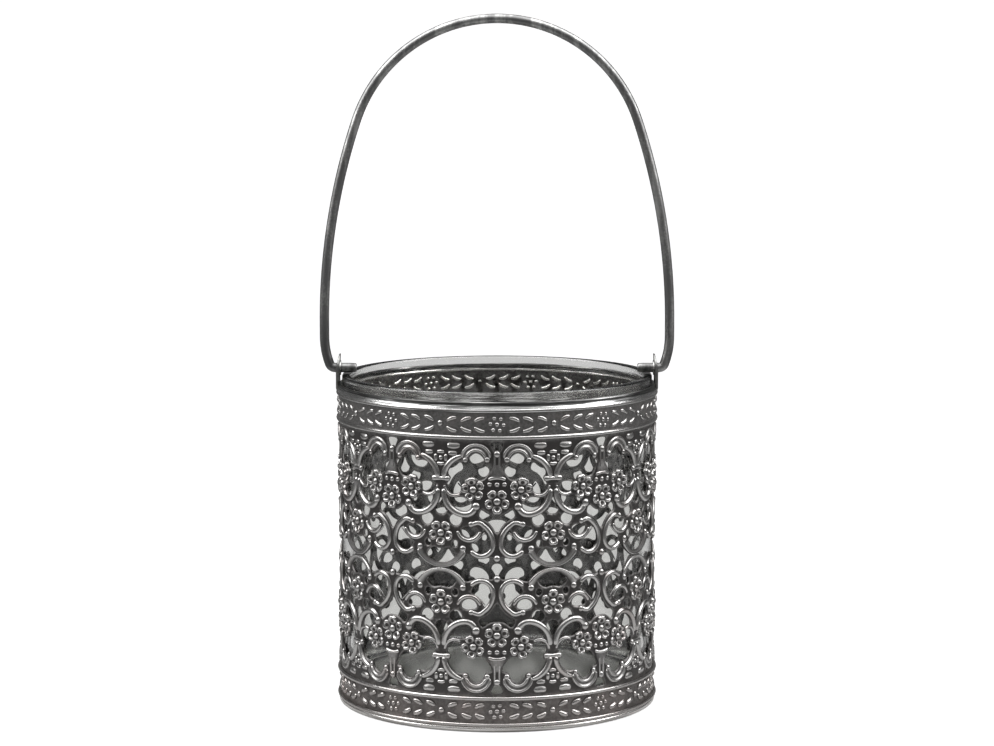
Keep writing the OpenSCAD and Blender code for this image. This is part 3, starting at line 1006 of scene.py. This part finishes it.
def sheet_points(half, high, outlines):
    """The sheet's grid, and rings of points outside each opening."""
    columns = np.linspace(0, half, math.ceil(half / GRID) + 1)
    columns = np.concatenate([-columns[:0:-1], columns])
    rows = np.linspace(0, high, math.ceil(high / GRID) + 1)
    points = np.array([(x, y) for y in rows for x in columns])
    edge = (abs(abs(points[:, 0]) - half) < 1e-6) | (points[:, 1] < 1e-6) | (points[:, 1] > high - 1e-6)
    keep = np.ones(len(points), bool)
    for outline in outlines:
        keep &= ~within(points, outline)
        keep &= from_outline(points, outline) > np.where(edge, CLEAR_AT_EDGE, CLEAR)
    placed = list(points[keep])
    for gap, step in RINGS:
        for outline in outlines:
            ring = beside(outline, gap)[::step]
            keep = (abs(ring[:, 0]) < half - RING_MARGIN) & (ring[:, 1] < high - RING_MARGIN)
            for other in outlines:
                keep &= ~within(ring, other) & (from_outline(ring, other) > 0.9 * gap)
            placed += list(ring[keep])
    return placed


def sheet_triangles(half, high, outlines):
    """The sheet of one repeat as places and triangles, without its openings."""
    verts, edges = sheet_points(half, high, outlines), []
    for loop in outlines + [[(-half, 0), (half, 0), (half, high), (-half, high)]]:
        edges += loop_edges(len(loop), len(verts))
        verts += loop
    done = delaunay_2d_cdt([Vector(v) for v in verts], edges, [], 0, 1e-5)
    placed = np.array([tuple(v) for v in done[0]])
    faces = np.array([tuple(f) for f in done[2] if len(f) == 3])
    middle = placed[faces].mean(axis=1)
    kept = (abs(middle[:, 0]) < half) & (middle[:, 1] > 0) & (middle[:, 1] < high)
    for outline in outlines:
        kept &= ~within(middle, outline)
    a, b, c = (placed[faces[:, i]] for i in range(3))
    area = (b[:, 0] - a[:, 0]) * (c[:, 1] - a[:, 1]) - (b[:, 1] - a[:, 1]) * (c[:, 0] - a[:, 0])
    kept &= abs(area) > 1e-7
    faces = [tuple(f) if s > 0 else tuple(f[::-1]) for f, s in zip(faces[kept], area[kept])]
    used = sorted({i for f in faces for i in f})
    number = {old: new for new, old in enumerate(used)}
    return placed[used], [[number[i] for i in f] for f in faces]


def sheet_mesh(half, high, border, swell, border_crest):
    """The pierced sheet of one repeat, in metres. It rises between its openings and rolls in at their
    edges. The border stands out by the swell and has its own crest."""
    outlines = opening_outlines(half, border, high)
    places, faces = sheet_triangles(half, high, outlines)
    gap = np.min([from_outline(places, outline) for outline in outlines], axis=0)
    pierced = np.clip((places[:, 1] - border) / BLEND, 0, 1)
    height = pierced * (RISE - ROLL_IN * np.exp(-gap / ROLL_WIDTH)) + (1 - pierced) * swell
    line = np.exp(-((gap - LINE_PLACE) / LINE_WIDTH) ** 2)
    crest = pierced * (SHEET_CREST + LINE_CREST * line) + (1 - pierced) * border_crest
    return flat_mesh("sheet", np.column_stack([places, height]) * MM, faces, crest=crest)


# Operators

# Each strip: the height of its outer edge, whether it is upside down, the crest of its border, the fullness
# of its border's leaves and pearls, and the crest of its ridge. The upper strip's border swells out.
# Both strips are one stamping. The difference in their border and ridge crests is painted light: the lower
# ridge has a painted highlight, the upper ridge is painted darker, and the upper border is painted a little
# brighter.
Strip = namedtuple("Strip", "edge flipped border_crest fullness ridge_crest")
STRIPS = {"lower": Strip(LOWER_LOW.z, False, 0.26, 1.15, 0.7),
          "upper": Strip(UPPER_HIGH.z, True, 0.33, 0.8, 0.3)}


def round_sleeve(name, flat, strip, base=None, weld=0.0):
    """A flat repeat bent round the sleeve for one strip. The flat mesh is copied."""
    sizes = bpy.context.scene.holder_sleeve
    return worked(linked(name, flat.copy()), sleeve_tree(), repeats=sizes.repeats,
                  pattern_radius=sizes.wall_radius, base_radius=base or sizes.inner_radius + sizes.sheet,
                  edge_height=strip.edge, upside_down=strip.flipped, weld=weld, material=stamped_silver())


def relief(strip, name, flat, base=None, turn=0.0):
    """A piece from a flat relief, bent round the sleeve for one strip and then turned."""
    mesh = evaluated(round_sleeve(f"{strip}_{name}", flat, STRIPS[strip], base))
    mesh.transform(Matrix.Rotation(turn, 4, "Z"))
    silver_piece(f"{strip}_{name}", smooth(mesh))


class HolderPiece:
    """What the operators share."""

    bl_options = {"REGISTER", "UNDO"}

    def execute(self, context):
        self.build(context.scene)
        return {"FINISHED"}


class HOLDER_OT_sheets(HolderPiece, bpy.types.Operator):
    """Builds the two pierced sheets of the sleeve"""

    bl_idname = "holder.sheets"
    bl_label = "Pierced sheets"

    def build(self, scene):
        sizes = scene.holder_sleeve
        half = math.pi * sizes.wall_radius / sizes.repeats / MM
        for name, strip in STRIPS.items():
            swell = sizes.swell / MM if strip.flipped else 0
            flat = sheet_mesh(half, sizes.strip_height / MM, sizes.border_height / MM, swell,
                              strip.border_crest)
            made = round_sleeve(f"{name}_sheet", flat, strip, weld=sizes.weld)
            wall = made.modifiers.new("Wall", "SOLIDIFY")
            wall.thickness = sizes.sheet
            wall.offset = -1
            silver_piece(f"{name}_sheet", smooth(evaluated(made), 35), [f"{name}_gallery"])


class HOLDER_OT_scrollwork(HolderPiece, bpy.types.Operator):
    """Builds the raised scrolls, ovals, arcs and urns of both strips"""

    bl_idname = "holder.scrollwork"
    bl_label = "Scrollwork"

    def build(self, scene):
        flat = joined("scrollwork", [
            swept_lines("rail", SIDE_RAILS + mirrored(SIDE_RAILS) + BETWEEN_RAILS),
            swept_lines("rail", AXIS_RIMS, lift=0.28),
            swept_lines("stem", AXIS_STEMS),
            swept_lines("bar", SIDE_BARS + mirrored(SIDE_BARS, 1)),
            swept_lines("band", SIDE_BANDS + mirrored(SIDE_BANDS)),
            swept_lines("blade", BETWEEN_BLADES),
            swept_lines("urn", AXIS_URNS),
        ])
        for strip in STRIPS:
            relief(strip, "scrollwork", flat)


class HOLDER_OT_flowers(HolderPiece, bpy.types.Operator):
    """Builds the five-petalled flowers and the pearls of both strips"""

    bl_idname = "holder.flowers"
    bl_label = "Flowers and pearls"

    def build(self, scene):
        flowers = AXIS_FLOWERS + BETWEEN_FLOWERS + SIDE_FLOWERS
        flowers += [((-x, y), radius, 180 - turn) for (x, y), radius, turn in SIDE_FLOWERS]
        petals, pearls = [], []
        for (x, y), radius, first in flowers:
            for k in range(PETALS):
                turn = math.radians(first) + math.tau * k / PETALS
                reach = PETAL_REACH * radius
                place = (x + reach * math.cos(turn), y + reach * math.sin(turn), 0)
                petals.append((place, turn, PETAL_SIZE * radius))
            pearls.append(((x, y, EYE_LIFT), 0, EYE_SIZE * radius))
        for (x, y), radius in AXIS_PEARLS + BETWEEN_PEARLS + both_sides(SIDE_PEARLS):
            pearls.append(((x, y, 0), 0, radius))
        flat = joined("flowers", [set_motifs("petals", petal_mesh(), petals),
                                  set_motifs("pearls", pearl_mesh(), pearls)])
        for strip in STRIPS:
            relief(strip, "flowers", flat)


class HOLDER_OT_borders(HolderPiece, bpy.types.Operator):
    """Builds the borders: leaves and pearls between a ridge and a bead line"""

    bl_idname = "holder.borders"
    bl_label = "Borders"

    def build(self, scene):
        sizes = scene.holder_sleeve
        back = sizes.inner_radius + sizes.swell
        inner = swept_lines("leaf", INSIDE_LEAVES + mirrored(INSIDE_LEAVES) + INSIDE_PEARLS)
        relief("upper", "frieze_inside", turned_inwards(inner, 0.9 * sizes.swell), back, sizes.far_step)
        for name, strip in STRIPS.items():
            # The pearls are slightly sunk, and grow less than the leaves
            leaves = widened(FRIEZE_LEAVES + mirrored(FRIEZE_LEAVES), strip.fullness)
            pearl_share = strip.fullness ** 0.4
            pearls = [((x, y, -0.1), 0, radius * pearl_share) for (x, y), radius in FRIEZE_PEARLS]
            flat = joined("frieze", [swept_lines("leaf", leaves),
                                     set_motifs("pearls", pearl_mesh(), pearls)])
            swell = sizes.swell if strip.flipped else 0
            relief(name, "frieze", flat, sizes.inner_radius + sizes.sheet + swell)
        for name, strip in STRIPS.items():
            self.edge_lines(sizes, name, strip, back)

    def edge_lines(self, sizes, name, strip, back):
        """The ridge and the bead line. The upper strip also has a line inside its edge and shows the back
        of its bead line."""
        up = -1 if strip.flipped else 1
        bead, ridge = sizes.bead_radius, sizes.ridge_radius
        # The ridge lies a little further out than the bead line, and reaches just past the strip's edge
        outer = [(sizes.wall_radius + 0.12 * MM, strip.edge + up * 0.95 * ridge, ridge)]
        # The ridge's crest differs between the strips as painted light
        silver_piece(f"{name}_ridge", wire_rings(outer, strip.ridge_crest))
        beads = [(sizes.wall_radius, strip.edge + up * (sizes.border_height - bead), bead)]
        if strip.flipped:
            beads += [(sizes.inner_radius + 0.25 * MM, strip.edge + 0.25 * MM, 0.34 * MM),
                      (back + 0.1 * MM, strip.edge - sizes.border_height + bead, 0.4 * MM)]
        silver_piece(f"{name}_beads", wire_rings(beads))


def turned_inwards(flat, most):
    """A copy of a flat relief that rises the other way, never higher than most. It is brighter than the
    relief outside: its crest is raised, a painted highlight."""
    # brighter and brightest raise and cap the crest: a painted highlight
    fuller, brighter, brightest = 1.2, 1.7, 1.2
    mesh = flat.copy()
    at = np.empty(len(mesh.vertices) * 3)
    mesh.vertices.foreach_get("co", at)
    at[2::3] = -most * np.tanh(fuller * at[2::3] / most)
    mesh.vertices.foreach_set("co", at)
    crest = np.empty(len(mesh.vertices), np.float32)
    values = mesh.attributes["crest"].data
    values.foreach_get("value", crest)
    values.foreach_set("value", np.clip(brighter * crest, 0, brightest))
    mesh.flip_normals()
    return mesh


class HOLDER_OT_rings(HolderPiece, bpy.types.Operator):
    """Builds the rim ring and gives the foot and seat rings their finishes"""

    bl_idname = "holder.rings"
    bl_label = "Rim, foot and seat"

    def build(self, scene):
        for node, material in (("foot_ring", foot_silver()), ("seat_ring", dull_metal())):
            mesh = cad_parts[node].data
            mesh.materials.clear()
            mesh.materials.append(material)
        inside = scene.holder_sleeve.inner_radius
        outline = [(inside + x * MM, RIM_LOW.z + z * MM) for x, z in RIM_SECTION]
        piece("rim_ring_roll", turned("rim", outline, 240, 40), "sleeve", rolled_silver(),
              ["rim_ring"])


class HOLDER_OT_glass(HolderPiece, bpy.types.Operator):
    """Builds the glass cup"""

    bl_idname = "holder.glass"
    bl_label = "Glass cup"

    def build(self, scene):
        g = scene.holder_glass
        low, high = GLASS_LOW.z, GLASS_HIGH.z
        inner, floor = g.radius - g.wall, low + g.floor
        outline = [(0.0, low), (g.radius * 0.4, low), (g.radius * 0.8, low)]
        outline += bend((g.radius - g.edge, low + g.edge), g.edge, -QUARTER, 0, 9)
        outline += [(g.radius, z) for z in np.linspace(low + g.edge, high - g.lip, 14)[1:-1]]
        outline += bend((g.radius - g.lip, high - g.lip), g.lip, 0, QUARTER, 7)
        outline += bend((inner + g.lip, high - g.lip), g.lip, QUARTER, math.pi, 7)
        outline += [(inner, z) for z in np.linspace(high - g.lip, floor + g.fillet, 14)[1:-1]]
        outline += bend((inner - g.fillet, floor + g.fillet), g.fillet, 0, -QUARTER, 10)
        outline += [(inner * 0.5, floor), (0.0, floor)]
        piece("glass_cup_body", turned("glass", outline, g.segments), "sleeve",
              clear_glass(), ["glass_cup"])


class HOLDER_OT_ears(HolderPiece, bpy.types.Operator):
    """Builds the two ears that carry the bail"""

    bl_idname = "holder.ears"
    bl_label = "Ears"

    def build(self, scene):
        for side, name in ((1, "right"), (-1, "left")):
            piece(f"ear_{name}_plate", ear_mesh(scene, side), "sleeve", ear_metal(),
                  [f"ear_{name}"])


def ear_mesh(scene, side, count=40):
    """A plate with a rounded top and a burred hole, its edges rounded. It leans in slightly above the hole
    and narrows towards its top."""
    e = scene.holder_ears
    pivot = scene.holder_bail.pivot
    half = e.width / 2

    def rim(scale):
        """The plate's outline seen along X, as one point for each turn from the hole's centre."""
        placed = []
        for y, z in circle(1, count):
            reach = half if z >= 0 else min(half / max(abs(y), 1e-6), (pivot - EAR_LOW.z) / abs(z))
            placed.append((y * (reach - half * (1 - scale)), pivot + z * (reach - half * (1 - scale))))
        return placed

    def hole(wider):
        return [(y, pivot + z) for y, z in circle(e.hole + wider * MM, count)]

    # Rings from the outer face over the edge to the inner face and back through the hole, with X and crest
    inside, outside = EAR_HIGH.x - e.thickness, EAR_HIGH.x
    middle = (inside + outside) / 2
    rings = [
        (rim(0.93), outside, 0.2), (rim(0.99), outside - 0.1 * MM, 0.6), (rim(1.0), middle, 0.5),
        (rim(0.99), inside + 0.1 * MM, 0.6), (rim(0.93), inside, 0.2),
        (hole(0.72), inside, 0.3), (hole(0.55), inside - e.burr, 0.9), (hole(0.25), inside - e.burr, 1.0),
        (hole(0), inside - e.burr * 0.5, 1.0), (hole(0), outside - 0.12 * MM, 1.0),
        (hole(0.12), outside, 1.0), (hole(0.6), outside, 0.5),
    ]
    points, crest = [], []
    for ring, x, bright in rings:
        for y, z in ring:
            up = min(max((z - pivot) / half, 0), 1)
            across = (x - middle) * (1 - 0.45 * up) + middle
            points.append((side * (across - e.lean * up ** 1.3), y * (1 - 0.1 * up * up), z))
        crest += [bright] * count
    faces = ring_faces(len(rings), count, closed=True)
    return smooth(outwards(flat_mesh("ear", points, faces, crest=crest)), 50)


class HOLDER_OT_bail(HolderPiece, bpy.types.Operator):
    """Builds the wire bail"""

    bl_idname = "holder.bail"
    bl_label = "Bail"

    def build(self, scene):
        b = scene.holder_bail
        arch = b.half_width - b.arch_inset
        middle = b.reach - arch
        rise = middle - b.waist
        side = arch + (b.arch_inset ** 2 + rise ** 2) / (2 * b.arch_inset)
        meet = math.asin(rise / (side - arch))
        start = b.half_width - b.leg_out
        turn = math.asin((b.sweep - b.leg_out) / (b.sweep - b.bend))
        upright = b.bend * (1 - math.cos(turn)) + b.sweep * math.cos(turn)
        tail = start - b.tail
        half = [(tail, 0.0), (tail + b.chamfer, 0.0)]
        half += [(x, 0.0) for x in np.linspace(tail, start, 8)[1:-1]]
        half += bend((start, b.bend), b.bend, -QUARTER, turn - QUARTER, 9)
        half += bend((b.half_width - b.sweep, upright), b.sweep, turn - QUARTER, 0, 10)[1:]
        half += [(b.half_width, z) for z in np.linspace(upright, b.waist, 5)[1:-1]]
        half += bend((b.half_width - side, b.waist), side, 0, meet, 40)
        half += bend((0, middle), arch, meet, QUARTER, 36)[1:]
        points = [(x, 0.0, b.pivot + z) for x, z in symmetric(half)]
        widths = np.full(len(points), b.wire_radius)
        tips = np.array([0.72, 0.95, 0.97])
        widths[:3] *= tips
        widths[-3:] *= tips[::-1]
        mesh = swept_wire("bail", points, [(i, i + 1) for i in range(len(points) - 1)], widths, 24)
        piece("bail_wire", mesh, "bail", dark_wire(), ["bail"])


class HOLDER_OT_stage(HolderPiece, bpy.types.Operator):
    """Builds the floor, the backdrop, the lamps and the camera"""

    bl_idname = "holder.stage"
    bl_label = "Stage"

    def build(self, scene):
        s = scene.holder_stage
        profile = [(-s.front, 0.0), (s.depth - s.cove, 0.0)]
        profile += bend((s.depth - s.cove, s.cove), s.cove, -QUARTER, 0, 12)[1:]
        profile.append((s.depth, s.height))
        points = [(x, y, z) for y, z in profile for x in (-s.half_width, s.half_width)]
        faces = [(2 * i, 2 * i + 1, 2 * i + 3, 2 * i + 2) for i in range(len(profile) - 1)]
        mesh = smooth(flat_mesh("floor", points, faces))
        mesh.materials.append(self.paper(s))
        linked("floor", mesh)
        for side in (-1, 1):
            self.lamp(f"side_light_{side}", side, s)
        self.world(scene)
        self.camera(scene, s)
        scene.view_settings.view_transform = "Standard"

    def paper(self, s):
        """White paper: its own pale colour for the light, and white for the camera. In reflections on metal
        it is painted darker, more so away from the holder, a painted shade. Seen through glass it takes no
        light but glows, a painted light, with a painted shadow under the holder."""
        m = Surface("paper")
        ray = m.add("ShaderNodeLightPath")
        through = ray.output("Is Transmission Ray")
        reach = m.length(m.place)
        far, outside_painted_shadow = reach.ramp(0.08, 0.2), reach.ramp(0.03, 0.048)
        # Painted shade: the paper is darkened in reflections, and for the glass its own colour is turned
        # off
        painted_dark_share = ray.output("Is Glossy Ray") * (0.25 + 0.5 * far) + through
        matt = m.add("ShaderNodeBsdfDiffuse", sockets={"Color": m.mixed(painted_dark_share, s.floor, (0, 0, 0, 1))})
        # Seen through glass the paper glows, a painted light, and less under the holder, a painted shadow
        seen = ray.output("Is Camera Ray") * 0.5 + through * (0.12 + 0.5 * outside_painted_shadow)
        glow = m.add("ShaderNodeEmission", sockets={"Color": (1, 1, 1, 1), "Strength": seen})
        both = m.add("ShaderNodeAddShader", sockets={0: matt, 1: glow})
        m.add("ShaderNodeOutputMaterial", sockets={"Surface": both})
        return m.material

    def lamp(self, name, side, s):
        data = bpy.data.lights.new(name, "AREA")
        data.shape = "RECTANGLE"
        data.size, data.size_y, data.energy = s.lamp_width, s.lamp_length, s.lamp_power
        made = bpy.data.objects.new(name, data)
        made.location = (side * s.lamp_side, -s.lamp_front, s.lamp_height)
        aim = Vector((0, 0, s.lamp_aim))
        made.rotation_euler = (made.location - aim).to_track_quat("Z", "Y").to_euler()
        bpy.context.scene.collection.objects.link(made)

    def world(self, scene):
        """White for the camera, grey for the light, and for metal a dark studio that is bright overhead."""
        world = bpy.data.worlds.new("studio")
        scene.world = world
        world.use_nodes = True
        graph = Graph(world.node_tree)
        world.node_tree.nodes.clear()
        ray = graph.add("ShaderNodeLightPath")
        way = graph.add("ShaderNodeSeparateXYZ",
                        sockets={"Vector": graph.add("ShaderNodeTexCoord").output("Generated")})
        glossy = ray.output("Is Glossy Ray")
        gap = abs(way.output("X")).ramp(0, 0.12)
        above = way.output("Z").ramp(0.6, 0.92)
        studio = 0.12 + 0.1 * way.output("Z").ramp(-0.1, 0.5) + (0.5 + 1.9 * gap) * above
        strength = glossy * studio + ray.output("Is Camera Ray") * 0.6 + (1 - glossy) * 0.4
        shade = graph.add("ShaderNodeBackground", sockets={"Color": (1, 1, 1, 1), "Strength": strength})
        graph.add("ShaderNodeOutputWorld", sockets={"Surface": shade})

    def camera(self, scene, s):
        data = bpy.data.cameras.new("camera")
        data.lens = s.focal
        data.clip_start, data.clip_end = 0.01, 20
        made = bpy.data.objects.new("camera", data)
        made.location = (0, -s.camera_distance, s.camera_height)
        made.rotation_euler = (QUARTER - s.camera_tilt, 0, 0)
        scene.collection.objects.link(made)
        scene.camera = made


class HOLDER_PT_panel(bpy.types.Panel):
    """Lists the holder's operators and sizes"""

    bl_idname = "HOLDER_PT_panel"
    bl_label = "Tea light holder"
    bl_space_type = "VIEW_3D"
    bl_region_type = "UI"
    bl_category = "Holder"

    def draw(self, context):
        for operator in OPERATORS:
            self.layout.operator(operator.bl_idname)
        for name in GROUPS:
            box = self.layout.box()
            group = getattr(context.scene, name)
            for key in group.__annotations__:
                box.prop(group, key)


GROUPS = {"holder_sleeve": SleeveSizes, "holder_glass": GlassSizes, "holder_bail": BailSizes,
          "holder_ears": EarSizes, "holder_finishes": Finishes, "holder_stage": StageSettings}
OPERATORS = [HOLDER_OT_sheets, HOLDER_OT_scrollwork, HOLDER_OT_flowers, HOLDER_OT_borders, HOLDER_OT_rings,
             HOLDER_OT_glass, HOLDER_OT_ears, HOLDER_OT_bail, HOLDER_OT_stage]


def register():
    for group in [*GROUPS.values(), *OPERATORS, HOLDER_PT_panel]:
        bpy.utils.register_class(group)
    for name, group in GROUPS.items():
        setattr(bpy.types.Scene, name, bpy.props.PointerProperty(type=group))


def unregister():
    for name in GROUPS:
        delattr(bpy.types.Scene, name)
    for group in [HOLDER_PT_panel, *reversed(OPERATORS), *GROUPS.values()]:
        bpy.utils.unregister_class(group)


def main():
    register()
    for operator in OPERATORS:
        space, name = operator.bl_idname.split(".")
        getattr(getattr(bpy.ops, space), name)()


if __name__ == "__main__":
    main()
